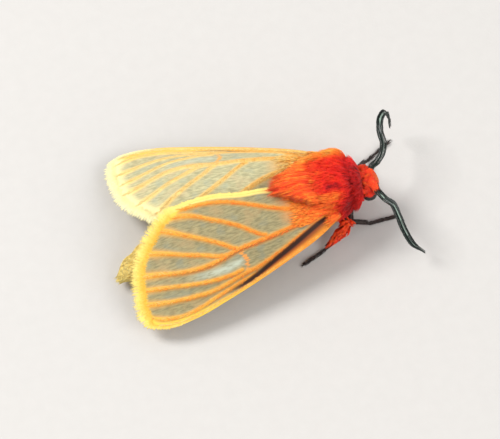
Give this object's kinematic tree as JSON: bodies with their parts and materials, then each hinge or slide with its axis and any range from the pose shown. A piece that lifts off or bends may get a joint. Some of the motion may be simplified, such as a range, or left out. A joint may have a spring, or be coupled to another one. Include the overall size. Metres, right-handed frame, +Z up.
{
  "type": "laterite matron moth",
  "caption": "Life-size laterite matron moth at rest, wings folded low over its back, resting on feet and abdomen.",
  "frame": {"origin": "middle of the footprint, on the floor that the feet and abdomen rest on", "axes": "+X towards the head, +Y to the moth's left, +Z up"},
  "size_m": [0.029, 0.019, 0.0076],
  "materials": {
    "head": "soft long hair, orange-red",
    "thorax": "soft long hair, scarlet and orange",
    "abdomen": "short soft hair, orange-yellow",
    "wing": "thin scaled membrane, olive between orange veins, satin",
    "eye": "glossy black",
    "antenna": "green-black with a pale sheen, satin",
    "leg": "black, satin"
  },
  "bodies": {
    "root": {"abdomen_front": "abdomen", "abdomen_middle": "abdomen", "abdomen_rear": "abdomen", "abdomen_tip": "abdomen", "antenna_left_base": "antenna", "antenna_left_middle": "antenna", "antenna_left_tip": "antenna", "antenna_right_base": "antenna", "antenna_right_middle": "antenna", "antenna_right_tip": "antenna", "eye_left": "eye", "eye_right": "eye", "foreleg_left_femur": "leg", "foreleg_left_tarsus": "leg", "foreleg_left_tibia": "leg", "foreleg_right_femur": "leg", "foreleg_right_tarsus": "leg", "foreleg_right_tibia": "leg", "forewing_left": "wing", "forewing_right": "wing", "head": "head", "hindleg_left_femur": "leg", "hindleg_left_tarsus": "leg", "hindleg_left_tibia": "leg", "hindleg_right_femur": "leg", "hindleg_right_tarsus": "leg", "hindleg_right_tibia": "leg", "hindwing_left": "wing", "hindwing_right": "wing", "midleg_left_femur": "leg", "midleg_left_tarsus": "leg", "midleg_left_tibia": "leg", "midleg_right_femur": "leg", "midleg_right_tarsus": "leg", "midleg_right_tibia": "leg", "palp_left": "head", "palp_right": "head", "thorax": "thorax"}
  },
  "joints": []
}
